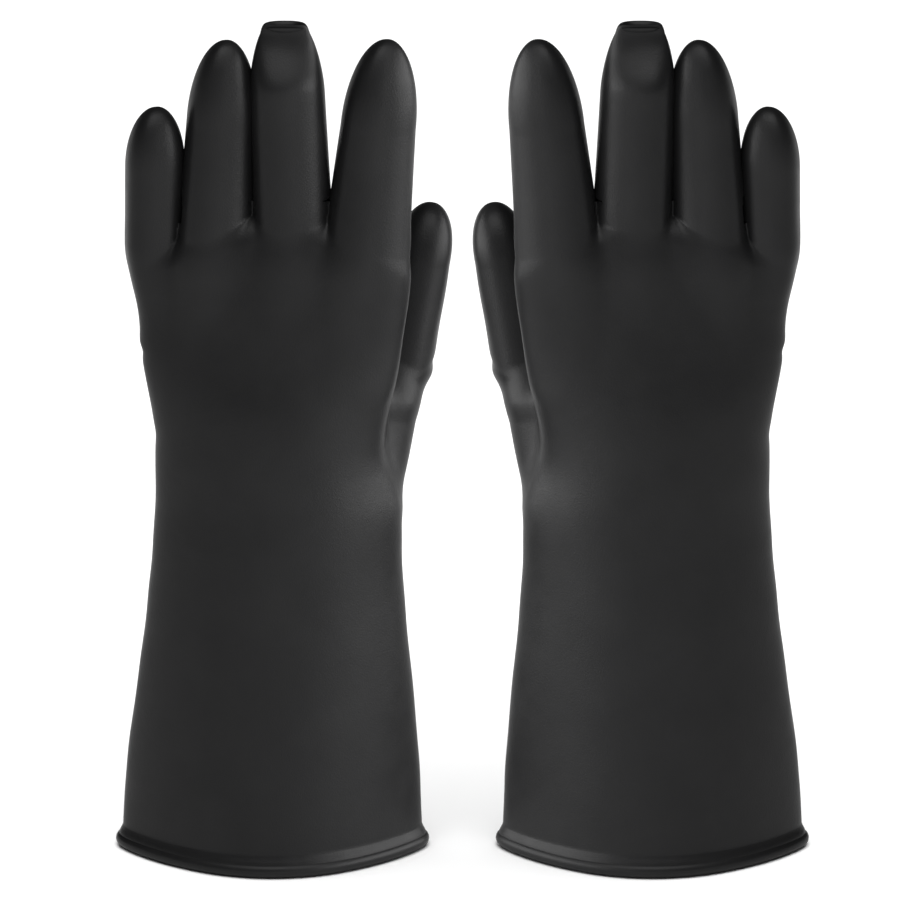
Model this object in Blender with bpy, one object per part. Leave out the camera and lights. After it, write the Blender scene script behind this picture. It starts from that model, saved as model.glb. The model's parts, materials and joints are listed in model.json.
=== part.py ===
"""A pair of dip-moulded rubber gloves for live electrical work, standing on their cuffs.

Metres, +Z up. The origin is on the floor, midway between the two gloves. Fingers point to +Z, the
backs of the hands face -Y, and the palms and thumbs face +Y. The glove at -X is for the left hand,
and the glove at +X is its mirror image. Each glove is one hollow rubber wall, divided into the
zones that stay stiff and the bands that bend between them, so that it can flex as a glove does.
"""

import math

import bpy
from mathutils import Vector

MM = 0.001

# Driving dimensions.
WALL = 1.5 * MM
GAP = 0.3 * MM
GLOVE_LENGTH = 360 * MM
GLOVE_OFFSET = 75 * MM  # from the middle of the pair to the axis of each sleeve
DEPTH_OFFSET = -4.1 * MM  # puts the middle of the footprint, thumbs included, at the origin

BEAD_HEIGHT = 6.4 * MM
BEAD_HALF_WIDTH = 63.4 * MM
BEAD_HALF_DEPTH = 38.4 * MM
BEAD_THICKNESS = 6.0 * MM
BEAD_SHIFT = -1.8 * MM

WRIST_HEIGHT = 155 * MM
WRIST_BAND_HEIGHT = 18 * MM

KNUCKLE_BEND = math.radians(50)
JOINT_BEND = math.radians(60)
THUMB_ROOT_BEND = math.radians(30)
THUMB_JOINT_BEND = math.radians(40)
FOLD_ROOM = 0.8 * MM  # room left in a band when it is fully bent

SLEEVE_SIDES = 24
PALM_SIDES = 24
FINGER_SIDES = 12
BEAD_SECTION_SIDES = 10

# Cross-sections of the glove's body, as height, sideways shift, half width and half depth.
SLEEVE_FOOT = (BEAD_HEIGHT + GAP, -1.9 * MM, 61.2 * MM, 36.0 * MM)
SLEEVE_HIGH = (133 * MM, 0.0, 49.7 * MM, 27.0 * MM)
WRIST_LOW = (146 * MM, 0.1 * MM, 48.9 * MM, 25.8 * MM)
WRIST_HIGH = (164 * MM, 1.4 * MM, 49.8 * MM, 24.8 * MM)
PALM_SECTIONS = (
    (180 * MM, -1.0 * MM, 47.6 * MM, 22.8 * MM),
    (196 * MM, -2.0 * MM, 49.4 * MM, 21.2 * MM),
    (215 * MM, -1.9 * MM, 52.2 * MM, 19.8 * MM),
    (243 * MM, -2.4 * MM, 55.4 * MM, 18.4 * MM),
    (260 * MM, -3.4 * MM, 57.0 * MM, 16.2 * MM),
    (269 * MM, -5.0 * MM, 55.0 * MM, 13.2 * MM),
    (275 * MM, -7.0 * MM, 46.0 * MM, 7.0 * MM),
)
PALM_TILT_START = 215 * MM  # the palm's sections tilt above this height
PALM_TILT_END = 275 * MM
PALM_TILT = 0.17  # rise per unit towards the thumb at the palm's top

# Each finger: foot and tip of its axis from the sleeve's axis, half widths at the foot and where
# its rounded end starts, the length of that end, and the heights of its two bends.
FINGERS = {
    "index": {
        "foot": (35.6, -3.5, 255.0),
        "tip": (43.3, 2.0, 351.0),
        "half_width": (17.0, 14.4),
        "end": 38.0,
        "knuckle": 287.0,
        "joint": 318.0,
    },
    "middle": {
        "foot": (7.3, -1.0, 255.0),
        "tip": (2.9, 5.0, 366.0),
        "half_width": (15.7, 13.8),
        "end": 38.0,
        "knuckle": 288.5,
        "joint": 323.0,
    },
    "ring": {
        "foot": (-24.7, 1.5, 252.0),
        "tip": (-21.6, 7.0, 351.0),
        "half_width": (13.8, 13.1),
        "end": 35.0,
        "knuckle": 288.0,
        "joint": 318.5,
    },
    "little": {
        "foot": (-48.6, 3.5, 242.0),
        "tip": (-49.8, 8.0, 321.5),
        "half_width": (11.3, 11.3),
        "end": 25.0,
        "knuckle": 277.0,
        "joint": 299.0,
    },
}
DEPTH_SHARE = 0.82  # a finger's depth over its width
DENTED_TOP = GLOVE_LENGTH  # the middle finger's end is pushed in at this height
DENT_DEPTH = 2.5 * MM

THUMB_ROOT = (
    ((30.0, 4.0, 172.0), 15.0),
    ((43.0, 18.0, 190.0), 16.0),
    ((50.2, 30.0, 206.0), 15.0),
)
THUMB = {
    "foot": (50.2, 30.0, 206.0),
    "tip": (59.5, 37.0, 268.0),
    "half_width": (15.0, 13.6),
    "end": 24.0,
    "knuckle": 212.5,
    "joint": 236.0,
}
THUMB_DEPTH_SHARE = 0.88

RUBBER_COLOUR = (0.022, 0.022, 0.023, 1.0)
RUBBER_ROUGHNESS = 0.5


def remove_everything():
    for thing in list(bpy.data.objects):
        bpy.data.objects.remove(thing, do_unlink=True)
    for block in list(bpy.data.meshes) + list(bpy.data.materials):
        bpy.data.batch_remove([block])


# ---------------------------------------------------------------- cross-sections and shells


class Section:
    """An oval cross-section: its middle, the directions of its width and depth, and half sizes."""

    def __init__(self, middle, half_width, half_depth, across=None, along_depth=None):
        self.middle = Vector(middle)
        self.half_width = half_width
        self.half_depth = half_depth
        self.across = Vector(across or (1, 0, 0))
        self.along_depth = Vector(along_depth or (0, 1, 0))

    def points(self, sides, inset=0.0):
        """The section's outline, counter-clockwise seen from above, drawn in by the inset."""
        width = max(self.half_width - inset, 0.2 * MM)
        depth = max(self.half_depth - inset, 0.2 * MM)
        turns = [2 * math.pi * k / sides for k in range(sides)]
        return [
            self.middle
            + self.across * (width * math.cos(turn))
            + self.along_depth * (depth * math.sin(turn))
            for turn in turns
        ]

    def moved(self, shift):
        return Section(
            self.middle + shift, self.half_width, self.half_depth, self.across, self.along_depth
        )


class Shape:
    """Points and faces gathered before they become a mesh."""

    def __init__(self):
        self.points = []
        self.faces = []

    def add_ring(self, points):
        start = len(self.points)
        self.points.extend(points)
        return list(range(start, start + len(points)))

    def add_point(self, point):
        self.points.append(point)
        return len(self.points) - 1

    def bridge(self, low, high):
        """Quads between two rings, facing out when the rings run counter-clockwise upwards."""
        count = len(low)
        for k in range(count):
            after = (k + 1) % count
            self.faces.append((low[k], low[after], high[after], high[k]))

    def close(self, ring, apex, upwards):
        """A fan from a ring to one point, facing up or down."""
        count = len(ring)
        for k in range(count):
            after = (k + 1) % count
            face = (ring[k], ring[after], apex)
            self.faces.append(face if upwards else face[::-1])


def open_tube(sections, sides):
    """A wall along the sections, open at both ends."""
    shape = Shape()
    outer = [shape.add_ring(section.points(sides)) for section in sections]
    inner = [shape.add_ring(section.points(sides, WALL)) for section in sections]
    for low, high in zip(outer, outer[1:]):
        shape.bridge(low, high)
    for low, high in zip(inner, inner[1:]):
        shape.bridge(high, low)
    shape.bridge(outer[-1], inner[-1])
    shape.bridge(inner[0], outer[0])
    return shape


def closed_stall(sections, inner_sections, outer_top, inner_top, sides):
    """A wall along the sections, open at the bottom and closed at the top."""
    shape = Shape()
    outer = [shape.add_ring(section.points(sides)) for section in sections]
    inner = [shape.add_ring(section.points(sides, WALL)) for section in inner_sections]
    for low, high in zip(outer, outer[1:]):
        shape.bridge(low, high)
    for low, high in zip(inner, inner[1:]):
        shape.bridge(high, low)
    shape.close(outer[-1], shape.add_point(outer_top), True)
    shape.close(inner[-1], shape.add_point(inner_top), False)
    shape.bridge(inner[0], outer[0])
    return shape


def solid_loft(sections, sides, inset=0.0):
    """A solid along the sections, closed at both ends, drawn in by the inset."""
    shape = Shape()
    rings = [shape.add_ring(section.points(sides, inset)) for section in sections]
    for low, high in zip(rings, rings[1:]):
        shape.bridge(low, high)
    shape.close(rings[0], shape.add_point(sections[0].middle.copy()), False)
    shape.close(rings[-1], shape.add_point(sections[-1].middle.copy()), True)
    return shape


# ---------------------------------------------------------------- the glove's outline


def body_section(height, shift, half_width, half_depth, tilt=0.0):
    """A level or tilted section of the sleeve or palm, on the left glove."""
    slope = math.atan(tilt)
    return Section(
        (shift - GLOVE_OFFSET, DEPTH_OFFSET, height + tilt * shift),
        half_width,
        half_depth,
        across=(math.cos(slope), 0.0, math.sin(slope)),
    )


def between(low, high, share):
    return tuple(a + (b - a) * share for a, b in zip(low, high))


def sleeve_sections():
    shares = (0.0, 0.25, 0.5, 0.75, 1.0)
    cone = [between(SLEEVE_FOOT, SLEEVE_HIGH, share) for share in shares]
    top = (WRIST_HEIGHT - WRIST_BAND_HEIGHT / 2 - GAP,) + WRIST_LOW[1:]
    return [body_section(*numbers) for numbers in cone + [top]]


def wrist_sections():
    low = (WRIST_HEIGHT - WRIST_BAND_HEIGHT / 2,) + WRIST_LOW[1:]
    high = (WRIST_HEIGHT + WRIST_BAND_HEIGHT / 2,) + WRIST_HIGH[1:]
    return [body_section(*between(low, high, share)) for share in (0.0, 0.5, 1.0)]


def palm_sections():
    foot = (WRIST_HEIGHT + WRIST_BAND_HEIGHT / 2 + GAP,) + WRIST_HIGH[1:]
    sections = [body_section(*foot)]
    for numbers in PALM_SECTIONS:
        rise = (numbers[0] - PALM_TILT_START) / (PALM_TILT_END - PALM_TILT_START)
        sections.append(body_section(*numbers, tilt=PALM_TILT * max(rise, 0.0)))
    return sections


def oval_across(direction):
    """Unit directions of width and depth for a tube that runs along the given direction."""
    across = Vector((1, 0, 0)) - direction * direction.x
    across.normalize()
    return across, direction.cross(across)


class Finger:
    """A straight tapering stall with a rounded end, on the left glove."""

    def __init__(self, numbers, depth_share):
        self.foot = self.placed(numbers["foot"])
        self.tip = self.placed(numbers["tip"])
        self.direction = (self.tip - self.foot).normalized()
        self.across, self.along_depth = oval_across(self.direction)
        self.length = (self.tip - self.foot).length
        self.half_widths = [width * MM for width in numbers["half_width"]]
        self.end = numbers["end"] * MM
        self.depth_share = depth_share
        self.knuckle = self.distance_at(numbers["knuckle"] * MM)
        self.joint = self.distance_at(numbers["joint"] * MM)

    @staticmethod
    def placed(point):
        return Vector(point) * MM + Vector((-GLOVE_OFFSET, DEPTH_OFFSET, 0))

    def distance_at(self, height):
        """The distance along the axis where it is at this height."""
        return (height - self.foot.z) / self.direction.z

    def point(self, distance):
        return self.foot + self.direction * distance

    def half_width(self, distance):
        straight = self.length - self.end
        share = min(distance / straight, 1.0)
        width = self.half_widths[0] + (self.half_widths[1] - self.half_widths[0]) * share
        rounded = max(distance - straight, 0.0) / self.end
        return width * math.sqrt(max(1.0 - rounded * rounded, 0.0))

    def section(self, distance):
        width = self.half_width(distance)
        return Section(
            self.point(distance), width, width * self.depth_share, self.across, self.along_depth
        )

    def half_band(self, distance, bend, reach_share):
        """Half the height of the band that lets the stall bend at this distance."""
        reach = self.half_width(distance) * reach_share
        return reach * math.tan(bend / 2) + FOLD_ROOM


def finger_zones(finger, knuckle_bend, joint_bend, reach_share):
    """Where the root, the two bands and the two stalls of a finger start and end."""
    low = finger.half_band(finger.knuckle, knuckle_bend, reach_share)
    high = finger.half_band(finger.joint, joint_bend, reach_share)
    return {
        "root_end": finger.knuckle - low - GAP,
        "knuckle_band": (finger.knuckle - low, finger.knuckle + low),
        "base_stall": (finger.knuckle + low + GAP, finger.joint - high - GAP),
        "joint_band": (finger.joint - high, finger.joint + high),
        "tip_start": finger.joint + high + GAP,
    }


def evenly(low, high, steps):
    return [low + (high - low) * k / steps for k in range(steps + 1)]


def rounded_end(finger, start, inset):
    """Distances of the rings of a stall's rounded end, closer together near the tip."""
    straight = finger.length - finger.end
    first = math.asin(max((start - straight) / finger.end, 0.0))
    last = math.radians(76)
    turns = evenly(first, last, 4)
    distances = [straight + (finger.end - inset) * math.sin(turn) for turn in turns]
    return [start] + [distance for distance in distances if distance > start + 1 * MM]


def pointed_tip(finger, start):
    """The last stall of a finger whose end is a plain dome."""
    sections = [finger.section(distance) for distance in rounded_end(finger, start, 0.0)]
    inner = [finger.section(distance) for distance in rounded_end(finger, start, 1.2 * WALL)]
    top = finger.point(finger.length)
    inner_top = finger.point(finger.length - 1.6 * WALL)
    return closed_stall(sections, inner, top, inner_top, FINGER_SIDES)


def dented_tip(finger, start):
    """The last stall of the finger whose end is pushed in, which leaves a round rim."""
    rim = finger.distance_at(DENTED_TOP)
    distances = evenly(start, rim, 4)
    sections = [finger.section(distance) for distance in distances]
    floor = rim - DENT_DEPTH
    inner = [finger.section(distance) for distance in evenly(start, floor - WALL, 3)]
    top = finger.point(floor)
    inner_top = finger.point(floor - 1.6 * WALL)
    return closed_stall(sections, inner, top, inner_top, FINGER_SIDES)


# ---------------------------------------------------------------- making objects


def rubber(name):
    material = bpy.data.materials.new(name)
    material.use_nodes = True
    shader = material.node_tree.nodes["Principled BSDF"]
    shader.inputs["Base Color"].default_value = RUBBER_COLOUR
    shader.inputs["Roughness"].default_value = RUBBER_ROUGHNESS
    shader.inputs["Metallic"].default_value = 0.0
    return material


def mirrored(shape):
    """The same shape on the right glove."""
    other = Shape()
    other.points = [Vector((-point.x, point.y, point.z)) for point in shape.points]
    other.faces = [face[::-1] for face in shape.faces]
    return other


def mesh_of(name, shape, pivot):
    mesh = bpy.data.meshes.new(name)
    mesh.from_pydata([point - pivot for point in shape.points], [], shape.faces)
    mesh.validate()
    mesh.shade_smooth()
    mesh.set_sharp_from_angle(angle=math.radians(40))
    return mesh


def linked(name, data):
    thing = bpy.data.objects.new(name, data)
    bpy.context.scene.collection.objects.link(thing)
    return thing


def combined(first, others, operation):
    """One shape from the first solid and the others, by exact Booleans."""
    base = linked("work_base", mesh_of("work_base", first, Vector()))
    tools = []
    for k, other in enumerate(others):
        tool = linked(f"work_tool_{k}", mesh_of("work_tool", other, Vector()))
        modifier = base.modifiers.new(f"step_{k}", "BOOLEAN")
        modifier.operation = operation
        modifier.solver = "EXACT"
        modifier.object = tool
        tools.append(tool)
    graph = bpy.context.evaluated_depsgraph_get()
    result = bpy.data.meshes.new_from_object(base.evaluated_get(graph))
    shape = Shape()
    shape.points = [vertex.co.copy() for vertex in result.vertices]
    shape.faces = [tuple(polygon.vertices) for polygon in result.polygons]
    for thing in [base] + tools:
        bpy.data.objects.remove(thing, do_unlink=True)
    return shape


class Glove:
    """One glove: its bodies as empties on their joints' axes, and its pieces."""

    def __init__(self, side):
        self.side = side
        self.on_left = side == "left"
        self.pivots = {}

    def point(self, point):
        return Vector(point) if self.on_left else Vector((-point[0], point[1], point[2]))

    def add_body(self, name, pivot, parent=None):
        """An empty on the joint's axis, which carries the pieces that turn with it."""
        place = self.point(pivot)
        empty = linked(f"{self.side}_{name}_pivot", None)
        empty.empty_display_size = 10 * MM
        if parent:
            empty.parent, parent_place = self.pivots[parent]
            empty.location = place - parent_place
        else:
            empty.location = place
        self.pivots[name] = (empty, place)

    def add_piece(self, name, shape, body):
        empty, place = self.pivots[body]
        full_name = f"{self.side}_{name}"
        placed = shape if self.on_left else mirrored(shape)
        piece = linked(full_name, mesh_of(full_name, placed, place))
        piece.parent = empty
        piece.data.materials.append(rubber(full_name))


def bead_shape():
    """The rolled bead around the cuff's edge, flat underneath where the glove stands."""
    shape = Shape()
    half = BEAD_THICKNESS / 2
    rings = []
    for k in range(BEAD_SECTION_SIDES):
        turn = 2 * math.pi * (k + 0.5) / BEAD_SECTION_SIDES - math.pi / 2
        outwards = half * math.cos(turn) / math.cos(math.pi / BEAD_SECTION_SIDES) - half
        lift = BEAD_HEIGHT / 2 * (1 + math.sin(turn) / math.cos(math.pi / BEAD_SECTION_SIDES))
        section = body_section(
            lift, BEAD_SHIFT, BEAD_HALF_WIDTH + outwards, BEAD_HALF_DEPTH + outwards
        )
        rings.append(shape.add_ring(section.points(SLEEVE_SIDES)))
    for low, high in zip(rings, rings[1:] + rings[:1]):
        shape.bridge(low, high)
    return shape


def thumb_root_sections(thumb):
    """The bent tube that carries the thumb out of the palm, up to the thumb's first band."""
    places = [(Finger.placed(point), width * MM) for point, width in THUMB_ROOT]
    middles = [place for place, _ in places]
    sections = []
    for k, (middle, half_width) in enumerate(places):
        before = middles[max(k - 1, 0)]
        after = middles[min(k + 1, len(middles) - 1)]
        direction = (after - before).normalized()
        if k == len(places) - 1:
            direction = thumb.direction
        across, along_depth = oval_across(direction)
        half_depth = half_width * THUMB_DEPTH_SHARE
        sections.append(Section(middle, half_width, half_depth, across, along_depth))
    return sections


def hand_shape(fingers, zones, thumb, thumb_zones):
    """The hollow hand, open at the wrist and at the five fingers."""
    palm = palm_sections()
    solids = []
    hollows = []
    palm_hollow = [palm[0].moved(Vector((0, 0, -5 * MM)))] + palm[:-1]
    palm_hollow.append(palm[-1].moved(Vector((0, 0, -WALL))))
    hollows.append(solid_loft(palm_hollow, PALM_SIDES, WALL))
    for name, finger in fingers.items():
        root_end = zones[name]["root_end"]
        tube = [finger.section(0.0), finger.section(root_end)]
        solids.append(solid_loft(tube, FINGER_SIDES))
        bore = [finger.section(WALL), finger.section(root_end + 4 * MM)]
        hollows.append(solid_loft(bore, FINGER_SIDES, WALL))
    root = thumb_root_sections(thumb)
    solids.append(solid_loft(root + [thumb.section(thumb_zones["root_end"])], FINGER_SIDES))
    lift = thumb.direction * WALL
    bore = [root[0].moved(lift)] + root[1:] + [thumb.section(thumb_zones["root_end"] + 4 * MM)]
    hollows.append(solid_loft(bore, FINGER_SIDES, WALL))
    whole = combined(solid_loft(palm, PALM_SIDES), solids, "UNION")
    hollow = combined(hollows[0], hollows[1:], "UNION")
    return combined(whole, [hollow], "DIFFERENCE")


def glove_shapes():
    """Every piece of the left glove, as (name, shape, body), and its bodies."""
    fingers = {name: Finger(numbers, DEPTH_SHARE) for name, numbers in FINGERS.items()}
    zones = {
        name: finger_zones(finger, KNUCKLE_BEND, JOINT_BEND, DEPTH_SHARE)
        for name, finger in fingers.items()
    }
    thumb = Finger(THUMB, THUMB_DEPTH_SHARE)
    thumb_zones = finger_zones(thumb, THUMB_ROOT_BEND, THUMB_JOINT_BEND, 1.0)
    hand = hand_shape(fingers, zones, thumb, thumb_zones)
    wrist = Vector((-GLOVE_OFFSET, DEPTH_OFFSET, WRIST_HEIGHT))
    bodies = [
        ("gauntlet", Vector((-GLOVE_OFFSET, DEPTH_OFFSET, 0)), None),
        ("hand", wrist, "gauntlet"),
    ]
    pieces = [
        ("cuff_bead", bead_shape(), "gauntlet"),
        ("gauntlet_sleeve", open_tube(sleeve_sections(), SLEEVE_SIDES), "gauntlet"),
        ("wrist_band", open_tube(wrist_sections(), SLEEVE_SIDES), "gauntlet"),
        ("hand_shell", hand, "hand"),
    ]
    fingers["thumb"] = thumb
    zones["thumb"] = thumb_zones
    for name, finger in fingers.items():
        zone = zones[name]
        bodies.append((f"{name}_base", finger.point(finger.knuckle), "hand"))
        bodies.append((f"{name}_tip", finger.point(finger.joint), f"{name}_base"))
        knuckle_band = [finger.section(place) for place in zone["knuckle_band"]]
        base_stall = [finger.section(place) for place in zone["base_stall"]]
        joint_band = [finger.section(place) for place in zone["joint_band"]]
        make_tip = dented_tip if name == "middle" else pointed_tip
        tubes = [
            ("knuckle_band", open_tube(knuckle_band, FINGER_SIDES), "hand"),
            ("base_stall", open_tube(base_stall, FINGER_SIDES), f"{name}_base"),
            ("joint_band", open_tube(joint_band, FINGER_SIDES), f"{name}_base"),
            ("tip_stall", make_tip(finger, zone["tip_start"]), f"{name}_tip"),
        ]
        for zone_name, shape, body in tubes:
            pieces.append((f"{name}_{zone_name}", shape, body))
    return bodies, pieces


def main():
    remove_everything()
    bodies, pieces = glove_shapes()
    for side in ("left", "right"):
        glove = Glove(side)
        for name, pivot, parent in bodies:
            glove.add_body(name, pivot, parent)
        for name, shape, body in pieces:
            glove.add_piece(name, shape, body)


main()
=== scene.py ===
"""A pair of black dip-moulded rubber insulating gloves, standing on their rolled cuffs.

Shapes are worked out on the left glove in millimetres, from the axis of its sleeve: x towards the
thumb, y towards the palm, z up. The right glove is its mirror image. Each glove is a thin wall cut
into pieces where its rubber bends, and each piece's outer surface is smooth across the cuts.
"""

import json
import math

import bmesh
import bpy
import numpy as np
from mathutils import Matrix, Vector


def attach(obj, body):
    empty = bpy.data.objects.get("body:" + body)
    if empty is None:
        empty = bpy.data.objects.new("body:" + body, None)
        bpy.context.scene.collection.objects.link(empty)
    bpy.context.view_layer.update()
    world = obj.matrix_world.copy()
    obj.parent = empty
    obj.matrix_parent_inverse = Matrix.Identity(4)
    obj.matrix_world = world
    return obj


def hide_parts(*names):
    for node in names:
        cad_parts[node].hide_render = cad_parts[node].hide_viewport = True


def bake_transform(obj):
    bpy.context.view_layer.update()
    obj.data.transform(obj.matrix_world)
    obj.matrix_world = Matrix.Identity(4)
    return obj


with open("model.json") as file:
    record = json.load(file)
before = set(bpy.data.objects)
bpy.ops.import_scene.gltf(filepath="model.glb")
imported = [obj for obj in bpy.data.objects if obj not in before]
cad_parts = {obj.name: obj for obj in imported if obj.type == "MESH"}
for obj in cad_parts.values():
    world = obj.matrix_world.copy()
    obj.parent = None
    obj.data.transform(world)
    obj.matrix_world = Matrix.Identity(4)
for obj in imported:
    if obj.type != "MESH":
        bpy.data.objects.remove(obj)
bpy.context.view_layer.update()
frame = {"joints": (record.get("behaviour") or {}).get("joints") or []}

MM = 0.001  # metres in a millimetre
WALL = 1.5
JOINTS = {joint["name"]: joint for joint in frame["joints"]}
WRIST = Vector(JOINTS["left_wrist"]["pos_m"])


# ---------------------------------------------------------------- small numeric helpers


def spline(keys, values):
    """A natural cubic spline through the given points, as a function of an array."""
    keys = np.asarray(keys, float)
    values = np.asarray(values, float)
    count = len(keys)
    steps = np.diff(keys)
    slopes = np.diff(values) / steps
    matrix = np.zeros((count, count))
    right = np.zeros(count)
    matrix[0, 0] = matrix[-1, -1] = 1.0
    for k in range(1, count - 1):
        matrix[k, k - 1 : k + 2] = steps[k - 1], 2 * (steps[k - 1] + steps[k]), steps[k]
        right[k] = 6 * (slopes[k] - slopes[k - 1])
    bends = np.linalg.solve(matrix, right)

    def curve(places):
        places = np.clip(places, keys[0], keys[-1])
        k = np.clip(np.searchsorted(keys, places) - 1, 0, count - 2)
        after = places - keys[k]
        before = keys[k + 1] - places
        cubic = (bends[k] * before**3 + bends[k + 1] * after**3) / (6 * steps[k])
        low = (values[k] / steps[k] - bends[k] * steps[k] / 6) * before
        high = (values[k + 1] / steps[k] - bends[k + 1] * steps[k] / 6) * after
        return cubic + low + high

    return curve


def smooth_step(low, high, values):
    share = np.clip((values - low) / (high - low), 0.0, 1.0)
    return share * share * (3 - 2 * share)


def smooth_min(a, b, reach):
    share = np.maximum(reach - np.abs(a - b), 0.0) / reach
    return np.minimum(a, b) - share * share * reach / 4


def smooth_max(a, b, reach):
    return -smooth_min(-a, -b, reach)


def hump(values, middle, reach):
    """A smooth bump of height 1 at the middle."""
    return np.exp(-(((values - middle) / reach) ** 2))


# ---------------------------------------------------------------- the glove's body: sleeve and palm

# Cross-sections of the body by height: sideways shift, half width, half depth, how lens-like the
# section is (2 is an ellipse, nearer 1 is two shallow arcs), and its turn about the sleeve's axis.
BODY_HEIGHTS = (0, 28, 81, 133, 150, 166, 180, 196, 212, 243, 262, 280)
BODY_SHIFT = spline(
    BODY_HEIGHTS, (-2.0, -1.9, -0.8, 0.1, 0.1, -2.0, -2.6, -2.4, -2.3, -1.5, -1.8, -2.3)
)
BODY_WIDTH = spline(
    BODY_HEIGHTS, (61.0, 59.7, 55.0, 50.1, 49.0, 46.8, 46.6, 49.5, 52.3, 54.3, 54.6, 54.8)
)
BODY_DEPTH = spline(
    BODY_HEIGHTS, (35.6, 34.4, 30.8, 27.2, 26.0, 25.0, 23.8, 22.0, 19.0, 14.6, 12.1, 8.8)
)
BODY_LENS = spline(
    BODY_HEIGHTS, (1.02, 1.06, 1.2, 1.3, 1.35, 1.42, 1.5, 1.55, 1.65, 1.85, 2.0, 2.1)
)
BODY_TURN = spline(
    BODY_HEIGHTS, (0, 0, 0, 0, -0.2, -0.7, -1.4, -2.2, -3.0, -4.4, -5.0, -5.0)
)
LENS_ROUNDING = 0.16
LENS_REACH = math.sqrt((1 + LENS_ROUNDING) ** 2 - LENS_ROUNDING**2)  # keeps the half depths true

# The top of the palm, where the fingers part: its height across the hand.
WEB_TOP = spline(
    (-66, -52, -39, -24, -9, 6, 21, 36, 60), (246, 258, 264, 271, 275.5, 277, 273, 268, 250)
)
WEB_ROUNDING = 9.0
WEB_SLOPE = 0.94  # turns a height above the palm's sloping top into a distance from it
FLATTEST_SLOPE = 0.012  # keeps the body's field finite near its axis


def body_field(x, y, z):
    """Roughly the distance from the wall of the sleeve and palm, negative inside."""
    turn = np.radians(BODY_TURN(z))
    across = x - BODY_SHIFT(z)
    u = (across * np.cos(turn) + y * np.sin(turn)) / BODY_WIDTH(z)
    depth = BODY_DEPTH(z) / LENS_REACH
    v = (y * np.cos(turn) - across * np.sin(turn)) / depth
    power = BODY_LENS(z)
    rounded = np.sqrt(v * v + LENS_ROUNDING**2)
    bulge = rounded - LENS_ROUNDING
    field = u * u + bulge**power - 1.0
    slope_u = 2 * u / BODY_WIDTH(z)
    slope_v = power * np.maximum(bulge, 1e-6) ** (power - 1) * (v / rounded) / depth
    slope = np.sqrt(slope_u**2 + slope_v**2)
    side = field / np.maximum(slope, FLATTEST_SLOPE)
    top = (z - WEB_TOP(x)) * WEB_SLOPE
    return smooth_max(side, top, WEB_ROUNDING)


# ---------------------------------------------------------------- fingers

ROOT_FADE = (12.0, -42.0)  # a finger sinks into the palm between these distances along it
ROOT_END = -46.0  # where a finger's own tube ends, deep in the palm
THUMB_END = -2.0
ROOT_CAP = 10.0  # how far the tube's rounded lower end reaches past that
ROOT_NARROWING = 0.36
ROOT_THINNING = 0.42
FINGER_POWER = 2.5  # 2 is an ellipse, more is squarer
PALM_TOP = 250.0  # the height that distances along a finger count from
THUMB_FOOT = 12.0  # how far below its first bend the thumb's distances start
TUBE_SLOPE = 0.02  # keeps a tube's field finite near its axis


def squarer(values):
    """Cosines or sines of turns, for a section that is squarer than an ellipse."""
    return np.sign(values) * np.abs(values) ** (2 / FINGER_POWER)


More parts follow.
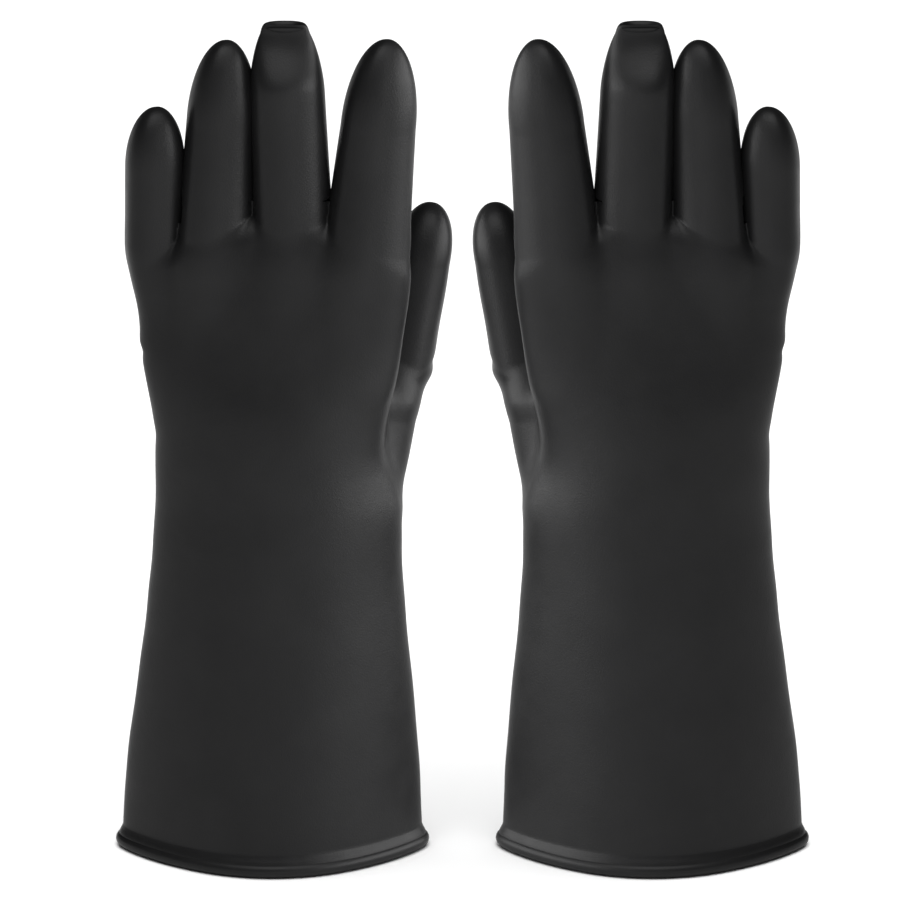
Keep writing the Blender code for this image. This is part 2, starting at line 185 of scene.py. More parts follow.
class Stall:
    """One finger of the left glove: a tapering oval tube with a rounded end.

    end is the rounded end's length, bends names its two joints, lean is how far it leaves its axis
    (sideways low down, sideways at the tip, and back at the tip), tip is the height of its top, and
    shift moves its sunken root sideways.
    """

    def __init__(self, name, half_widths, depth_share, end, turn, bends, lean, tip, shift=0.0):
        self.name = name
        low = self.local(JOINTS[f"left_{name}_{bends[0]}"]["pos_m"])
        high = self.local(JOINTS[f"left_{name}_{bends[1]}"]["pos_m"])
        self.axis = (high - low).normalized()
        self.foot = low - self.axis * (low.z - PALM_TOP) / self.axis.z
        self.first_bend = (low - self.foot).length
        if name == "thumb":
            self.foot = low - self.axis * THUMB_FOOT
            self.first_bend = THUMB_FOOT
        self.second_bend = self.first_bend + (high - low).length
        self.length = (tip - self.foot.z) / self.axis.z
        self.lean = lean
        across = Vector((1, 0, 0)) - self.axis * self.axis.x
        across.normalize()
        deep = self.axis.cross(across)
        turned = math.radians(turn)
        self.across = across * math.cos(turned) + deep * math.sin(turned)
        self.deep = self.axis.cross(self.across)
        self.half_widths = half_widths
        self.depth_share = depth_share
        self.end = end
        self.shift = shift
        self.sinks = name != "thumb"

    @staticmethod
    def local(point):
        return Vector(((point[0] - WRIST.x) / MM, (point[1] - WRIST.y) / MM, point[2] / MM))

    def world(self, distance):
        """A point on the axis in the row frame."""
        point = self.foot + self.axis * distance
        return Vector((point.x * MM + WRIST.x, point.y * MM + WRIST.y, point.z * MM))

    def along(self, x, y, z):
        return (
            (x - self.foot.x) * self.axis.x
            + (y - self.foot.y) * self.axis.y
            + (z - self.foot.z) * self.axis.z
        )

    def sunk(self, distance):
        """How far the finger's root has sunk into the palm, from 0 to 1."""
        return smooth_step(ROOT_FADE[0], ROOT_FADE[1], distance) * self.sinks

    def width(self, distance):
        """Half width before the rounded end's narrowing."""
        straight = self.length - self.end
        share = np.clip(distance / straight, -0.3, 1.0)
        full = self.half_widths[0] + (self.half_widths[1] - self.half_widths[0]) * share
        return full * (1 - ROOT_NARROWING * self.sunk(distance))

    def offset(self, distance):
        """How far the stall's middle lies off its straight axis, along its width and its depth."""
        share = np.clip(distance / self.length, 0.0, 1.0)
        low, high, back = self.lean
        sideways = low + (high - low) * share + self.shift * self.sunk(distance)
        return sideways, back * share * share

    def thinness(self, distance):
        return self.depth_share * (1 - ROOT_THINNING * self.sunk(distance))

    def field(self, x, y, z):
        distance = self.along(x, y, z)
        dx, dy, dz = x - self.foot.x, y - self.foot.y, z - self.foot.z
        width = self.width(distance)
        depth = width * self.thinness(distance)
        sideways, backwards = self.offset(distance)
        u = (dx * self.across.x + dy * self.across.y + dz * self.across.z - sideways) / width
        v = (dx * self.deep.x + dy * self.deep.y + dz * self.deep.z - backwards) / depth
        w = np.maximum(distance - (self.length - self.end), 0.0) / self.end
        low = np.maximum((ROOT_END if self.sinks else THUMB_END) - distance, 0.0) / ROOT_CAP
        u_part, v_part = np.abs(u) + 1e-6, np.abs(v) + 1e-6
        oval = (u_part**FINGER_POWER + v_part**FINGER_POWER) ** (1 / FINGER_POWER)
        radius = np.sqrt(oval * oval + w * w + low * low)
        slope_u = oval ** (2 - FINGER_POWER) * u_part ** (FINGER_POWER - 1) / width
        slope_v = oval ** (2 - FINGER_POWER) * v_part ** (FINGER_POWER - 1) / depth
        slope = np.sqrt(slope_u**2 + slope_v**2 + (w / self.end) ** 2 + (low / ROOT_CAP) ** 2)
        return (radius - 1.0) * radius / np.maximum(slope, TUBE_SLOPE)

    def surface(self, distance, turn):
        """Points of the stall's wall at distances along it and turns about it."""
        width = self.width(distance)
        rounded = np.maximum(distance - (self.length - self.end), 0.0) / self.end
        narrowed = width * np.sqrt(np.maximum(1 - rounded**2, 0.0))
        sideways, backwards = self.offset(distance)
        u = (narrowed * squarer(np.cos(turn)) + sideways)[..., None] * np.array(self.across)
        depth = narrowed * self.thinness(distance)
        v = (depth * squarer(np.sin(turn)) + backwards)[..., None] * np.array(self.deep)
        return np.array(self.foot) + distance[..., None] * np.array(self.axis) + u + v


FINGER_BENDS = ("knuckle", "joint")
STALLS = {
    "index": Stall(
        "index",
        half_widths=(17.9, 15.1),
        depth_share=0.78,
        end=38.0,
        turn=14.0,
        bends=FINGER_BENDS,
        lean=(0.0, 0.7, -3.5),
        tip=351.1,
    ),
    "middle": Stall(
        "middle",
        half_widths=(16.3, 15.1),
        depth_share=0.78,
        end=38.0,
        turn=14.0,
        bends=FINGER_BENDS,
        lean=(0.3, -0.9, -4.5),
        tip=362.4,
    ),
    "ring": Stall(
        "ring",
        half_widths=(15.7, 14.0),
        depth_share=0.80,
        end=35.0,
        turn=14.0,
        bends=FINGER_BENDS,
        lean=(-0.5, 0.7, -4.0),
        tip=349.0,
    ),
    "little": Stall(
        "little",
        half_widths=(11.3, 11.9),
        depth_share=0.84,
        end=25.0,
        turn=14.0,
        bends=FINGER_BENDS,
        lean=(-0.9, 0.5, -4.0),
        tip=319.6,
        shift=9.0,
    ),
    "thumb": Stall(
        "thumb",
        half_widths=(14.2, 12.0),
        depth_share=1.0,
        end=24.0,
        turn=0.0,
        bends=("root", "joint"),
        lean=(0.0, 3.8, 0.0),
        tip=266.0,
    ),
}

# Where each piece ends and the next begins, and where each bend's turning starts and ends, as
# distances along the finger from its first or second bend.
FIRST_TURN = (-5.8, 11.0)
SECOND_TURN = (-10.0, 10.5)
THUMB_FIRST_TURN = (-7.0, 7.5)
THUMB_SECOND_TURN = (-8.5, 9.5)
PIECE_SPLIT = 0.4  # where the pieces part, as a share of the straight length between the bends
WRIST_TURN = (-20.0, 20.0)
SLEEVE_TOP = WRIST.z / MM + WRIST_TURN[1]


def turns_of(stall):
    if stall.name == "thumb":
        return THUMB_FIRST_TURN, THUMB_SECOND_TURN
    return FIRST_TURN, SECOND_TURN


def cut_distance(stall):
    """Where the hand ends and the finger's lower piece begins."""
    return stall.first_bend + turns_of(stall)[0][0]


def split_distance(stall):
    """Where the finger's lower piece ends and its upper piece begins."""
    first, second = turns_of(stall)
    low = stall.first_bend + first[1]
    high = stall.second_bend + second[0]
    return low + (high - low) * PIECE_SPLIT


# ---------------------------------------------------------------- the whole hand as one field

THUMB_ROOT_FOOT = Vector((34.4, 7.5, 150.0))
THUMB_ROOT_MIDDLE = Vector((43.0, 20.0, 187.0))
THUMB_ROOT_WIDTHS = (15.2, 15.0, 13.8)
THUMB_ROOT_DEPTHS = (11.0, 13.4, 13.8)
WEB_BLEND = 6.5  # how softly a finger's tube meets the palm
THUMB_WEB_BLEND = 5.0
BLEND_FADE = 32.0  # how far below a finger's cut its blend into the palm is full
LOOSE_BLEND = 0.5
THUMB_BLEND = 7.0
THUMB_ROOT_BLEND = 2.0
CUT_MARGIN = 0.8  # the blend starts this far below the cut
CUT_OVERRUN = 2.5  # the tube goes this far past the cut, to be trimmed there


def capsule_field(x, y, z, low, high, widths, depths):
    """A tapering oval tube between two points, with round ends."""
    axis = high - low
    length = axis.length
    axis = axis / length
    across = (Vector((1, 0, 0)) - axis * axis.x).normalized()
    deep = axis.cross(across)
    dx, dy, dz = x - low.x, y - low.y, z - low.z
    distance = dx * axis.x + dy * axis.y + dz * axis.z
    share = np.clip(distance / length, 0.0, 1.0)
    width = widths[0] + (widths[1] - widths[0]) * share
    depth = depths[0] + (depths[1] - depths[0]) * share
    beyond = np.maximum(distance - length, 0.0) + np.maximum(-distance, 0.0)
    u = (dx * across.x + dy * across.y + dz * across.z) / width
    v = (dx * deep.x + dy * deep.y + dz * deep.z) / depth
    w = beyond / np.minimum(width, depth)
    radius = np.sqrt(u * u + v * v + w * w) + 1e-9
    slope = np.sqrt((u / width) ** 2 + (v / depth) ** 2 + (w / np.minimum(width, depth)) ** 2)
    return (radius - 1.0) * radius / np.maximum(slope, TUBE_SLOPE)


def thumb_root_field(x, y, z):
    foot = STALLS["thumb"].foot
    lower = capsule_field(
        x, y, z, THUMB_ROOT_FOOT, THUMB_ROOT_MIDDLE, THUMB_ROOT_WIDTHS[:2], THUMB_ROOT_DEPTHS[:2]
    )
    upper = capsule_field(
        x, y, z, THUMB_ROOT_MIDDLE, foot, THUMB_ROOT_WIDTHS[1:], THUMB_ROOT_DEPTHS[1:]
    )
    return smooth_min(lower, upper, THUMB_ROOT_BLEND)


def lower_body_field(x, y, z):
    """The sleeve, the palm and the ball of the thumb."""
    return smooth_min(body_field(x, y, z), thumb_root_field(x, y, z), THUMB_BLEND)


def hand_field(x, y, z):
    """The glove above the wrist, with every finger cut off just past where its pieces start."""
    field = lower_body_field(x, y, z)
    for stall in STALLS.values():
        distance = stall.along(x, y, z)
        near_end = smooth_step(0.0, BLEND_FADE, cut_distance(stall) - CUT_MARGIN - distance)
        full_blend = WEB_BLEND if stall.sinks else THUMB_WEB_BLEND
        blend = LOOSE_BLEND + (full_blend - LOOSE_BLEND) * near_end
        tube = np.maximum(stall.field(x, y, z), distance - cut_distance(stall) - CUT_OVERRUN)
        field = smooth_min(field, tube, blend)
    return field


def gradient(field, points, step=0.05):
    """The field and its gradient at some points."""
    x, y, z = points[:, 0], points[:, 1], points[:, 2]
    slopes = np.stack(
        (
            field(x + step, y, z) - field(x - step, y, z),
            field(x, y + step, z) - field(x, y - step, z),
            field(x, y, z + step) - field(x, y, z - step),
        ),
        axis=1,
    ) / (2 * step)
    return field(x, y, z), slopes


def pulled_to_surface(field, points, rounds=4, reach=0.6):
    for _ in range(rounds):
        value, slopes = gradient(field, points)
        square = np.maximum((slopes**2).sum(1), 1e-4)
        step = slopes * (value / square)[:, None]
        size = np.linalg.norm(step, axis=1)[:, None]
        points = points - step * np.minimum(1.0, reach / np.maximum(size, 1e-9))
    return points


def outward(field, points):
    slopes = gradient(field, points)[1]
    return slopes / np.maximum(np.linalg.norm(slopes, axis=1), 1e-9)[:, None]


def surface_net(field, low, high, step):
    """Quads along the zero surface of a field, by one point in each grid cell that it crosses."""
    axes = [np.arange(low[k], high[k] + step, step) for k in range(3)]
    grid = np.meshgrid(*axes, indexing="ij")
    values = field(*grid)
    inside = values < 0
    corners = [(i, j, k) for i in (0, 1) for j in (0, 1) for k in (0, 1)]
    cells = tuple(size - 1 for size in values.shape)

    def corner(array, offset):
        i, j, k = offset
        return array[i : i + cells[0], j : j + cells[1], k : k + cells[2]]

    count = sum(corner(inside, offset).astype(int) for offset in corners)
    active = (count > 0) & (count < 8)
    total = np.zeros(cells + (3,))
    crossings = np.zeros(cells)
    for a in corners:
        for axis in range(3):
            if a[axis]:
                continue
            b = tuple(c + (1 if n == axis else 0) for n, c in enumerate(a))
            va, vb = corner(values, a), corner(values, b)
            crossed = (va < 0) != (vb < 0)
            share = np.where(crossed, va / np.where(crossed, va - vb, 1.0), 0.0)
            for n in range(3):
                total[..., n] += np.where(crossed, a[n] + (share if n == axis else 0.0), 0.0)
            crossings += crossed
    number = -np.ones(cells, int)
    number[active] = np.arange(active.sum())
    where = np.argwhere(active)
    points = np.array([axes[n][0] for n in range(3)]) + step * (
        where + total[active] / crossings[active][:, None]
    )
    quads = []
    for axis in range(3):
        shape = [size - 2 for size in values.shape]
        shape[axis] = values.shape[axis] - 1
        u, v = (axis + 1) % 3, (axis + 2) % 3

        def part(array, offset):
            start = [1, 1, 1]
            start[axis] = 0
            start = [start[n] + offset[n] for n in range(3)]
            return array[tuple(slice(start[n], start[n] + shape[n]) for n in range(3))]

        ahead = [0, 0, 0]
        ahead[axis] = 1
        here, there = part(inside, (0, 0, 0)), part(inside, ahead)
        ring = []
        for du, dv in ((-1, -1), (0, -1), (0, 0), (-1, 0)):
            offset = [0, 0, 0]
            offset[u], offset[v] = du, dv
            ring.append(part(number, offset))
        outwards = here & ~there
        inwards = ~here & there
        quads.append(np.stack([r[outwards] for r in ring], axis=1))
        quads.append(np.stack([r[inwards] for r in ring[::-1]], axis=1))
    return points, np.concatenate(quads)


def relaxed(field, points, quads, rounds):
    """Evens out a surface's points, along the surface."""
    pairs = np.concatenate([quads[:, [k, (k + 1) % 4]] for k in range(4)])
    degree = np.bincount(pairs[:, 0], minlength=len(points)) + np.bincount(
        pairs[:, 1], minlength=len(points)
    )
    for _ in range(rounds):
        total = np.zeros_like(points)
        for n in range(3):
            total[:, n] = np.bincount(pairs[:, 0], points[pairs[:, 1], n], len(points))
            total[:, n] += np.bincount(pairs[:, 1], points[pairs[:, 0], n], len(points))
        shift = total / degree[:, None] - points
        normal = outward(field, points)
        shift -= normal * (shift * normal).sum(1)[:, None]
        points = pulled_to_surface(field, points + 0.6 * shift, rounds=1)
    return points


# ---------------------------------------------------------------- small unevenness of the rubber


def unevenness(points):
    """How far the wall stands out from its plain shape, in millimetres: waves and creases."""
    x, y, z = points[:, 0], points[:, 1], points[:, 2]
    waves = 0.22 * np.sin(0.055 * z + 0.9 * np.sin(0.06 * x + 0.4) + 0.05 * y)
    waves += 0.16 * np.sin(0.11 * x - 0.043 * z + 1.3)
    waves += 0.10 * np.sin(0.19 * z + 0.13 * x + 0.7 * np.sin(0.05 * z))
    calm = smooth_step(12.0, 40.0, z) * (1 - smooth_step(262.0, 276.0, z))
    # Creases on the little finger's side of the hand, and one on the thumb's loose part.
    heel_side = smooth_step(-34.0, -54.0, x)
    creases = -0.55 * hump(z - 0.12 * (x + 55), 215.0, 2.6) * heel_side
    creases += 0.3 * hump(z - 0.12 * (x + 55), 220.0, 3.5) * heel_side
    creases -= 0.4 * hump(z, 180.0, 4.0) * heel_side
    creases -= 0.5 * hump(z, 200.0, 2.6) * smooth_step(54.0, 60.0, x)
    return waves * calm + creases


# ---------------------------------------------------------------- thin walls and meshes


class Wall:
    """Points, faces and outward directions of an outer surface, before it gets its thickness."""

    def __init__(self, points, faces, normals):
        self.points = points
        self.faces = faces
        self.normals = normals


def grid_wall(grid, closed_top=False):
    """A wall from rows of points that run round it, with an optional point that closes its top."""
    rows, columns = grid.shape[:2]
    up = np.gradient(grid, axis=0)
    around = np.roll(grid, -1, axis=1) - np.roll(grid, 1, axis=1)
    normals = np.cross(around, up)
    normals /= np.maximum(np.linalg.norm(normals, axis=2), 1e-9)[..., None]
    points = grid.reshape(-1, 3)
    normals = normals.reshape(-1, 3)
    index = np.arange(rows * columns).reshape(rows, columns)
    after = np.roll(index, -1, axis=1)
    faces = np.stack((index[:-1], after[:-1], after[1:], index[1:]), axis=-1).reshape(-1, 4)
    faces = [tuple(face) for face in faces.tolist()]
    if closed_top:
        apex = len(points)
        top = grid[-1].mean(axis=0)
        points = np.vstack((points, top))
        direction = normals[-columns:].mean(axis=0)
        normals = np.vstack((normals, direction / np.linalg.norm(direction)))
        faces += [(int(a), int(b), apex) for a, b in zip(index[-1], after[-1])]
    return Wall(points, faces, normals)


def thickened(wall, thickness=WALL):
    """A closed shell: the outer surface, the inner one, and rims along the open edges."""
    count = len(wall.points)
    inner = wall.points - wall.normals * thickness
    faces = list(wall.faces) + [tuple(count + v for v in face[::-1]) for face in wall.faces]
    used = {(a, b) for face in wall.faces for a, b in zip(face, face[1:] + face[:1])}
    for a, b in used:
        if (b, a) not in used:
            faces.append((b, a, count + a, count + b))
    return Wall(
        np.vstack((wall.points, inner)), faces, np.vstack((wall.normals, -wall.normals))
    )


def to_row_frame(points, side):
    placed = points * MM + np.array((WRIST.x, WRIST.y, 0.0))
    if side == "right":
        placed[:, 0] = -placed[:, 0]
    return placed


def side_point(point, side):
    """A point of the left glove in the row frame, or its mirror image."""
    return Vector(point) if side == "left" else Vector((-point.x, point.y, point.z))


def add_mesh(name, wall, side, material):
    faces = wall.faces if side == "left" else [face[::-1] for face in wall.faces]
    mesh = bpy.data.meshes.new(name)
    mesh.from_pydata(to_row_frame(wall.points, side).tolist(), [], faces)
    mesh.shade_smooth()
    normals = wall.normals * ((1 if side == "left" else -1), 1, 1)
    mesh.normals_split_custom_set_from_vertices(normals.tolist())
    piece = bpy.data.objects.new(name, mesh)
    bpy.context.scene.collection.objects.link(piece)
    mesh.materials.append(material)
    return piece


# ---------------------------------------------------------------- the pieces' outer surfaces

SLEEVE_COLUMNS = 200
SLEEVE_ROW = 2.2
SLEEVE_FOOT = 2.4
STALL_COLUMNS = 84
STALL_ROW = 1.2
LAST_ROW_TURN = math.radians(88.5)  # how far over a rounded end its last row is
HAND_CELL = 1.35
BEAD_HALF_THICKNESS = 3.1
BEAD_SET_IN = -0.45
BEAD_WAVE = 0.02  # how much the bead's thickness varies round the cuff
BEAD_WAVES = 9
CUFF_FLARE = 1.5  # the sleeve swells into the bead over its last few millimetres
CUFF_ROW = 0.6
CUFF_ROWS_TOP = 11.0
FIELD_NORMALS_FROM = 12.0  # above the flare, the body's field gives the sleeve's directions
BEAD_COLUMNS = 280
BEAD_SECTION = 22
RING_REACH = (4.0, 95.0)  # every ring's radius is between these
RING_ROUNDS = 26


def ring_on_body(height, columns, stand_off=0.0):
    """Points round the body at one height, closer together at its narrow sides."""
    turn = np.linspace(0, 2 * math.pi, columns, endpoint=False)
    dx = float(BODY_WIDTH(height)) * np.cos(turn)
    dy = float(BODY_DEPTH(height)) * np.sin(turn)
    size = np.hypot(dx, dy)
    dx, dy = dx / size, dy / size
    middle = float(BODY_SHIFT(height))
    low, high = np.full(columns, RING_REACH[0]), np.full(columns, RING_REACH[1])
    z = np.full(columns, height)
    for _ in range(RING_ROUNDS):
        half = (low + high) / 2
        inside = lower_body_field(middle + half * dx, half * dy, z) < stand_off
        low, high = np.where(inside, half, low), np.where(inside, high, half)
    return np.stack((middle + low * dx, low * dy, z), axis=1)


def displaced(wall):
    wall.points = wall.points + wall.normals * unevenness(wall.points)[:, None]
    return wall


def sleeve_wall():
    heights = np.linspace(SLEEVE_FOOT, SLEEVE_TOP, int((SLEEVE_TOP - SLEEVE_FOOT) / SLEEVE_ROW))
    near_bead = np.arange(SLEEVE_FOOT + CUFF_ROW, CUFF_ROWS_TOP, CUFF_ROW)
    heights = np.unique(np.round(np.concatenate((heights, near_bead)), 4))
    flare = CUFF_FLARE * smooth_step(10.0, 5.0, heights)
    grid = np.array(
        [ring_on_body(height, SLEEVE_COLUMNS, out) for height, out in zip(heights, flare)]
    )
    wall = grid_wall(grid)
    top = wall.points[:, 2] > FIELD_NORMALS_FROM
    wall.normals[top] = outward(lower_body_field, wall.points[top])
    return displaced(wall)


def bead_wall():
    """The rolled bead: a round coil of rubber along the cuff's edge."""
    line = ring_on_body(BEAD_HALF_THICKNESS, BEAD_COLUMNS, BEAD_SET_IN)
    ahead = np.roll(line, -1, axis=0) - np.roll(line, 1, axis=0)
    out = np.cross(ahead, (0, 0, 1))
    out /= np.linalg.norm(out, axis=1)[:, None]
    turns = np.linspace(0, 2 * math.pi, BEAD_SECTION, endpoint=False)
    columns = np.arange(BEAD_COLUMNS)
    wave = 1 + BEAD_WAVE * np.sin(columns * 2 * math.pi / BEAD_COLUMNS * BEAD_WAVES)
    rings = []
    for turn in turns:
        outwards = out * (BEAD_HALF_THICKNESS * math.cos(turn) * wave)[:, None]
        upwards = np.array((0, 0, BEAD_HALF_THICKNESS * math.sin(turn)))
        rings.append(line + outwards + upwards)
    grid = np.array(rings)
    index = np.arange(grid.shape[0] * BEAD_COLUMNS).reshape(grid.shape[:2])
    after = np.roll(index, -1, axis=1)
    up, up_after = np.roll(index, -1, axis=0), np.roll(after, -1, axis=0)
    faces = np.stack((index, after, up_after, up), axis=-1).reshape(-1, 4)
    normals = np.array(
        [out * math.cos(turn) + np.array((0, 0, math.sin(turn))) for turn in turns]
    )
    return Wall(grid.reshape(-1, 3), [tuple(f) for f in faces.tolist()], normals.reshape(-1, 3))


def stall_grid(stall, low, high, closed):
    if closed:
        straight = stall.length - stall.end
        body = np.arange(low, straight, STALL_ROW)
        turns = np.linspace(0, LAST_ROW_TURN, max(int(stall.end * 1.25 / STALL_ROW), 8))
        distances = np.concatenate((body, straight + stall.end * np.sin(turns)))
        if low > straight:
            distances = np.concatenate(([low], distances[distances > low + 0.5]))
    else:
        distances = np.linspace(low, high, max(int((high - low) / STALL_ROW), 3) + 1)
    turn = np.linspace(0, 2 * math.pi, STALL_COLUMNS, endpoint=False)
    return np.array([stall.surface(np.full(STALL_COLUMNS, d), turn) for d in distances])


# The pushed-in end of the middle finger, from its outer wall over the rim and into the hollow:
# half width, and distance past where the rounded end starts.
DENT_PROFILE = (
    (10.1, 28.2),
    (9.55, 30.3),
    (8.9, 31.7),
    (8.0, 32.4),
    (7.0, 32.0),
    (5.6, 31.0),
    (2.8, 30.2),
    (0.3, 30.0),
)
DENT_ROWS = 22
DENT_PINCH = 0.75  # how much the rim is flattened towards the back of the hand
DENT_BACK = 0.2  # and towards the palm
DENT_PINCH_FADE = (6.0, 30.0)  # the flattening grows between these, past the rounded end's start


def dented_grid(stall, low):
    straight = stall.length - stall.end
    start = DENT_PROFILE[0][1]
    body = np.arange(low, straight, STALL_ROW)
    steps = np.linspace(0, math.asin(start / stall.end), 26)[:-1]
    distances = np.concatenate((body, straight + stall.end * np.sin(steps)))
    distances = distances[distances >= low]
    widths = []
    for distance in distances:
        rounded = max(distance - straight, 0) / stall.end
        widths.append(float(stall.width(distance)) * math.sqrt(max(1 - rounded**2, 0)))
    keys = np.arange(len(DENT_PROFILE))
    places = np.linspace(0, len(DENT_PROFILE) - 1, DENT_ROWS)
    widths += list(spline(keys, [point[0] for point in DENT_PROFILE])(places))
    dent = spline(keys, [point[1] for point in DENT_PROFILE])(places)
    distances = list(distances) + list(straight + dent)
    turn = np.linspace(0, 2 * math.pi, STALL_COLUMNS, endpoint=False)
    rows = []
    for width, distance in zip(widths, distances):
        pinch = float(smooth_step(*DENT_PINCH_FADE, np.array(distance - straight)))
        depth = width * stall.depth_share * squarer(np.sin(turn))
        depth *= np.where(depth < 0, 1 - DENT_PINCH * pinch, 1 - DENT_BACK * pinch)
        level = Vector((1, 0, 0)) * pinch + stall.across * (1 - pinch)
        level.normalize()
        behind = stall.axis.cross(level).normalized()
        sideways, backwards = stall.offset(np.array(distance))
        across = (width * squarer(np.cos(turn)))[:, None] * np.array(level)
        deep = depth[:, None] * np.array(behind)
        middle = stall.foot + stall.axis * distance + stall.across * float(sideways)
        rows.append(np.array(middle + stall.deep * float(backwards)) + across + deep)
    return np.array(rows)


def stall_walls(stall):
    cut, split = cut_distance(stall), split_distance(stall)
    lower = displaced(grid_wall(stall_grid(stall, cut, split, False)))
    if stall.name == "middle":
        upper = grid_wall(dented_grid(stall, split), closed_top=True)
    else:
        upper = grid_wall(stall_grid(stall, split, stall.length, True), closed_top=True)
    return lower, displaced(upper)


HAND_LOW = (-70.0, -32.0, SLEEVE_TOP - 4.0)
HAND_HIGH = (74.0, 52.0, 292.0)
HAND_ROUNDS = 4
CUT_REACH = (4.0, 1.2)  # a cut trims faces this near it, below the cut and outside the finger


def hand_wall():
    """The palm, the back and the roots of the fingers, cut square across each finger's axis."""
    points, quads = surface_net(hand_field, HAND_LOW, HAND_HIGH, HAND_CELL)
    points = pulled_to_surface(hand_field, points)
    points = relaxed(hand_field, points, quads, HAND_ROUNDS)
    work = bmesh.new()
    verts = [work.verts.new(point) for point in points]
    for quad in quads:
        work.faces.new([verts[v] for v in quad])
    bmesh.ops.bisect_plane(
        work,
        geom=work.verts[:] + work.edges[:] + work.faces[:],
        plane_co=(0, 0, SLEEVE_TOP),
        plane_no=(0, 0, -1),
        clear_outer=True,
    )
    for stall in STALLS.values():
        cut = cut_distance(stall)
        near = []
        for face in work.faces:
            centre = face.calc_center_median()
            distance = stall.along(centre.x, centre.y, centre.z)
            axis_point = stall.foot + stall.axis * distance
            reach = stall.half_widths[0] + CUT_REACH[1]
            if distance > cut - CUT_REACH[0] and (centre - axis_point).length < reach:
                near.append(face)
        edges = {edge for face in near for edge in face.edges}
        corners = {vert for face in near for vert in face.verts}
        bmesh.ops.bisect_plane(
            work,
            geom=near + list(edges) + list(corners),
            plane_co=stall.foot + stall.axis * cut,
            plane_no=stall.axis,
            clear_outer=True,
        )
    loose = [vert for vert in work.verts if not vert.link_faces]
    bmesh.ops.delete(work, geom=loose, context="VERTS")
    work.verts.index_update()
    points = np.array([vert.co for vert in work.verts])
    faces = [tuple(vert.index for vert in face.verts) for face in work.faces]
    work.free()
    return displaced(Wall(points, faces, outward(hand_field, points)))


# ---------------------------------------------------------------- materials


BLACK = 0.0078
SHEEN_LEVEL = 0.14


def rubber(name, tone, grain):
    """Matt black latex: fine grain, cloudy tone, and a slightly uneven sheen."""
    material = bpy.data.materials.new(name)
    material.use_nodes = True
    tree = material.node_tree
    shader = tree.nodes["Principled BSDF"]
    shader.inputs["Base Color"].default_value = (tone, tone, tone * 1.03, 1.0)
    shader.inputs["Roughness"].default_value = 0.5
    shader.inputs["Specular IOR Level"].default_value = SHEEN_LEVEL
    place = tree.nodes.new("ShaderNodeTexCoord")

    def noise(scale, detail):
        node = tree.nodes.new("ShaderNodeTexNoise")
        node.inputs["Scale"].default_value = scale
        node.inputs["Detail"].default_value = detail
        tree.links.new(place.outputs["Object"], node.inputs["Vector"])
        return node

    def spread(source, low, high):
        node = tree.nodes.new("ShaderNodeMapRange")
        node.inputs["From Min"].default_value = 0.3
        node.inputs["From Max"].default_value = 0.7
        node.inputs["To Min"].default_value = low
        node.inputs["To Max"].default_value = high
        tree.links.new(source, node.inputs["Value"])
        return node

    clouds = noise(38.0, 3.0)
    tint = tree.nodes.new("ShaderNodeMix")
    tint.data_type = "RGBA"
    tint.inputs["A"].default_value = (tone * 0.88, tone * 0.88, tone * 0.91, 1.0)
    tint.inputs["B"].default_value = (tone * 1.14, tone * 1.14, tone * 1.17, 1.0)
    clouds = spread(clouds.outputs["Fac"], 0.0, 1.0)
    tree.links.new(clouds.outputs["Result"], tint.inputs["Factor"])
    tree.links.new(tint.outputs["Result"], shader.inputs["Base Color"])
    sheen = spread(noise(120.0, 2.0).outputs["Fac"], 0.37, 0.44)
    tree.links.new(sheen.outputs["Result"], shader.inputs["Roughness"])

    coarse = tree.nodes.new("ShaderNodeBump")
    coarse.inputs["Strength"].default_value = 0.12
    coarse.inputs["Distance"].default_value = 0.0004
    tree.links.new(noise(260.0, 2.0).outputs["Fac"], coarse.inputs["Height"])
    fine = tree.nodes.new("ShaderNodeBump")
    fine.inputs["Strength"].default_value = grain
    fine.inputs["Distance"].default_value = 0.0002
    tree.links.new(noise(1500.0, 2.0).outputs["Fac"], fine.inputs["Height"])
    tree.links.new(coarse.outputs["Normal"], fine.inputs["Normal"])
    tree.links.new(fine.outputs["Normal"], shader.inputs["Normal"])
    return material


GLOVE_RUBBER = rubber("latex", BLACK, 0.35)
BEAD_RUBBER = rubber("latex_roll", BLACK, 0.25)


# ---------------------------------------------------------------- camera, floor and light

# The photo has next to no perspective, so the lens is long and the camera far away.
CAMERA_TARGET = Vector((-0.00505, -0.0041, 0.1725))
CAMERA_DISTANCE = 16.5657
CAMERA_LENS = 1640.0
CAMERA_ELEVATION = math.radians(22.0)
camera_data = bpy.data.cameras.new("camera")
camera_data.sensor_width = 36.0
camera_data.lens = CAMERA_LENS
camera_data.clip_end = 100.0
camera = bpy.data.objects.new("camera", camera_data)
bpy.context.scene.collection.objects.link(camera)
toward_camera = Vector((0, -math.cos(CAMERA_ELEVATION), math.sin(CAMERA_ELEVATION)))
camera.location = CAMERA_TARGET + toward_camera * CAMERA_DISTANCE
camera.rotation_euler = (-toward_camera).to_track_quat("-Z", "Y").to_euler()
bpy.context.scene.camera = camera
bpy.context.scene.view_settings.view_transform = "Standard"

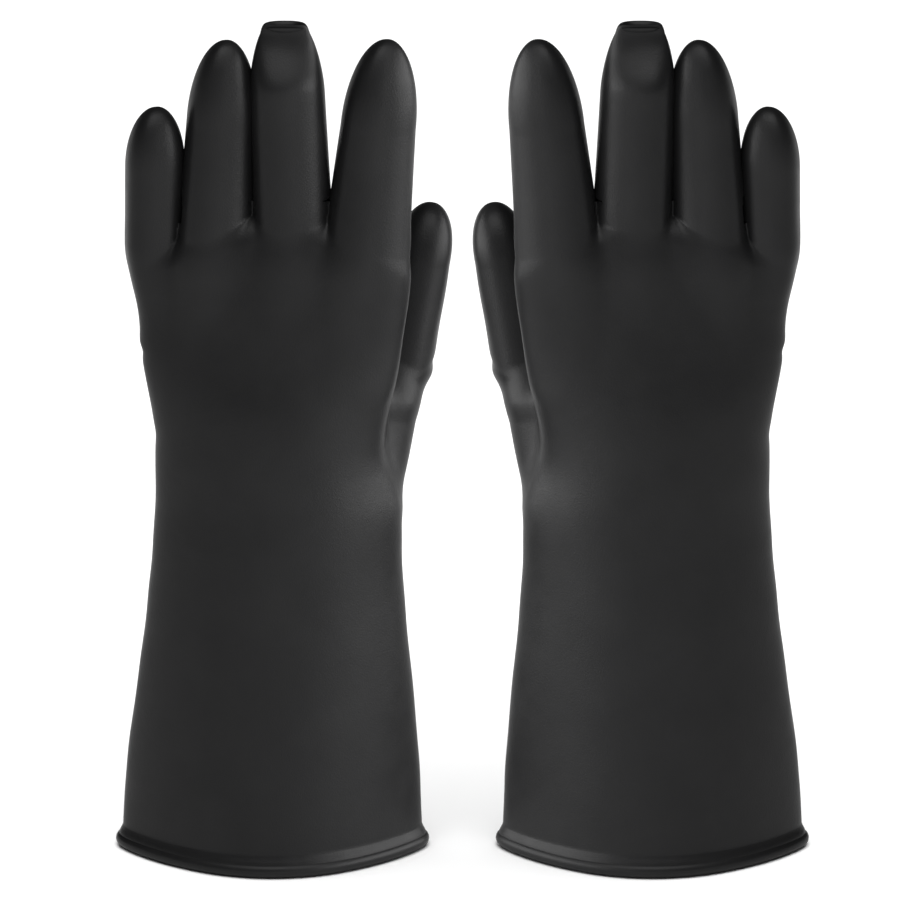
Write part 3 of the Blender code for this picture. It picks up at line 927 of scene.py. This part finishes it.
FLOOR_HALF = 4.0
FLOOR_TONE = 0.93
floor_mesh = bpy.data.meshes.new("floor")
floor_corners = [
    (x * FLOOR_HALF, y * FLOOR_HALF, 0) for x, y in ((-1, -1), (1, -1), (1, 1), (-1, 1))
]
floor_mesh.from_pydata(floor_corners, [], [(0, 1, 2, 3)])
floor = bpy.data.objects.new("floor", floor_mesh)
bpy.context.scene.collection.objects.link(floor)
floor_material = bpy.data.materials.new("pale_floor")
floor_material.use_nodes = True
floor_shader = floor_material.node_tree.nodes["Principled BSDF"]
floor_shader.inputs["Base Color"].default_value = (FLOOR_TONE, FLOOR_TONE, FLOOR_TONE, 1.0)
floor_shader.inputs["Roughness"].default_value = 0.9
floor_shader.inputs["Specular IOR Level"].default_value = 0.0
floor_mesh.materials.append(floor_material)

WORLD_LIGHT = 0.09  # what the white surround gives to surfaces; the camera sees it at full strength
world = bpy.data.worlds.new("studio")
world.use_nodes = True
bpy.context.scene.world = world
tree = world.node_tree
background = tree.nodes["Background"]
background.inputs["Color"].default_value = (1.0, 1.0, 1.0, 1.0)
paths = tree.nodes.new("ShaderNodeLightPath")
strength = tree.nodes.new("ShaderNodeMapRange")
strength.inputs["To Min"].default_value = WORLD_LIGHT
strength.inputs["To Max"].default_value = 1.0
tree.links.new(paths.outputs["Is Camera Ray"], strength.inputs["Value"])
tree.links.new(strength.outputs["Result"], background.inputs["Strength"])


def area_light(name, place, target, size, power):
    """A rectangular panel, in metres and watts, that the camera doesn't see."""
    data = bpy.data.lights.new(name, "AREA")
    data.shape = "RECTANGLE"
    data.size, data.size_y = size
    data.energy = power
    light = bpy.data.objects.new(name, data)
    bpy.context.scene.collection.objects.link(light)
    light.location = place
    direction = Vector(target) - Vector(place)
    light.rotation_euler = direction.to_track_quat("-Z", "Y").to_euler()
    light.visible_camera = False
    return light


# ---------------------------------------------------------------- the pieces


def finger_blend(piece, side, stall, bend, turn):
    """Works out the two ends of a finger piece's turn about its bend, but uses neither, and bakes
    the piece's placement into its mesh.
    """
    tuple(side_point(stall.world(bend + turn[0]), side))
    tuple(side_point(stall.world(bend + turn[1]), side))
    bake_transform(piece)


walls = {"sleeve": thickened(sleeve_wall()), "hand": thickened(hand_wall()), "bead": bead_wall()}
for stall in STALLS.values():
    lower, upper = stall_walls(stall)
    walls[f"{stall.name}_lower"] = thickened(lower)
    walls[f"{stall.name}_upper"] = thickened(upper)

side_pieces = {}
for side in ("left", "right"):
    made = {}
    for part, wall in walls.items():
        material = BEAD_RUBBER if part == "bead" else GLOVE_RUBBER
        piece = add_mesh(f"{side}_{part}", wall, side, material)
        made[part] = piece
    side_pieces[side] = list(made.values())
    sleeve, hand, bead = made["sleeve"], made["hand"], made["bead"]
    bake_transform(sleeve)
    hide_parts(f"{side}_gauntlet_sleeve", f"{side}_wrist_band")
    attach(bead, f"{side}_gauntlet")
    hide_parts(f"{side}_cuff_bead")
    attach(hand, f"{side}_hand")
    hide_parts(f"{side}_hand_shell")
    for name, stall in STALLS.items():
        first, second = turns_of(stall)
        lower, upper = made[f"{name}_lower"], made[f"{name}_upper"]
        finger_blend(lower, side, stall, stall.first_bend, first)
        finger_blend(upper, side, stall, stall.second_bend, second)
        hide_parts(f"{side}_{name}_knuckle_band", f"{side}_{name}_base_stall")
        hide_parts(f"{side}_{name}_joint_band", f"{side}_{name}_tip_stall")


# ---------------------------------------------------------------- lights

# The photo's gloves are lit as mirror images, so each has its own key light, on the other glove's
# side, that lights and shades only that glove.
KEY_ASIDE, KEY_FORWARD, KEY_HEIGHT = 1.0, -0.5, 0.42
KEY_SIZE, KEY_POWER = (1.6, 0.84), 33.0
GLOVE_ASIDE = 0.075


def collection_of(name, objects):
    collection = bpy.data.collections.new(name)
    for item in objects:
        collection.objects.link(item)
    return collection


for side, sign in (("left", -1.0), ("right", 1.0)):
    key = area_light(
        f"{side}_key",
        place=(-sign * KEY_ASIDE, KEY_FORWARD, KEY_HEIGHT),
        target=(sign * GLOVE_ASIDE, KEY_FORWARD, KEY_HEIGHT),
        size=KEY_SIZE,
        power=KEY_POWER,
    )
    lit = collection_of(f"{side}_lit", side_pieces[side])
    key.light_linking.receiver_collection = lit
    key.light_linking.blocker_collection = lit

top_light = area_light(
    "top", place=(0, -1.4, 2.2), target=(0, 0, 0.3), size=(2.2, 1.6), power=48.0
)
gloves = side_pieces["left"] + side_pieces["right"]
top_light.light_linking.receiver_collection = collection_of("gloves_only", gloves)
overhead = area_light(
    "overhead", place=(0, -0.3, 3.0), target=(0, 0, 0), size=(3.5, 3.5), power=185.0
)
overhead.light_linking.receiver_collection = collection_of("floor_only", [floor])
